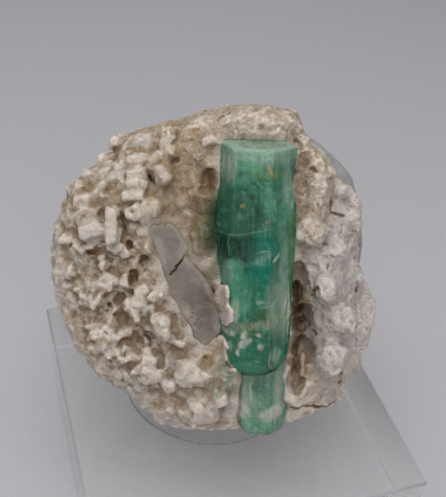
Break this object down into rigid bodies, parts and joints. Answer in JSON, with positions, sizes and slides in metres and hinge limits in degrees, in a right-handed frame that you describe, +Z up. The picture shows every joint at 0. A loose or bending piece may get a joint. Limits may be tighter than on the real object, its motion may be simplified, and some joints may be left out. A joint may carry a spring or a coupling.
{
  "type": "mineral specimen on a display stand",
  "caption": "Emerald crystals on a rounded white feldspar and quartz matrix, leaning on a clear round seat and square display block.",
  "frame": {"origin": "middle of the display block's underside", "axes": "+Z up, X and Y along the block's sides; the specimen's crystal face looks towards -Y, turned a little towards -X"},
  "size_m": [0.0636, 0.0674, 0.082],
  "materials": {
    "clear_acrylic": "polished clear acrylic",
    "albite": "rough, sugary and blocky crystals",
    "emerald": "vitreous with lengthwise striations",
    "pale_emerald": "vitreous and milky",
    "grey_quartz": "vitreous, uneven fracture"
  },
  "bodies": {
    "root": {"base_block": "clear_acrylic", "seat_disc": "clear_acrylic", "matrix": "albite", "emerald_crystal": "emerald", "emerald_stub": "pale_emerald", "face_quartz": "grey_quartz", "back_quartz": "grey_quartz"}
  },
  "joints": []
}
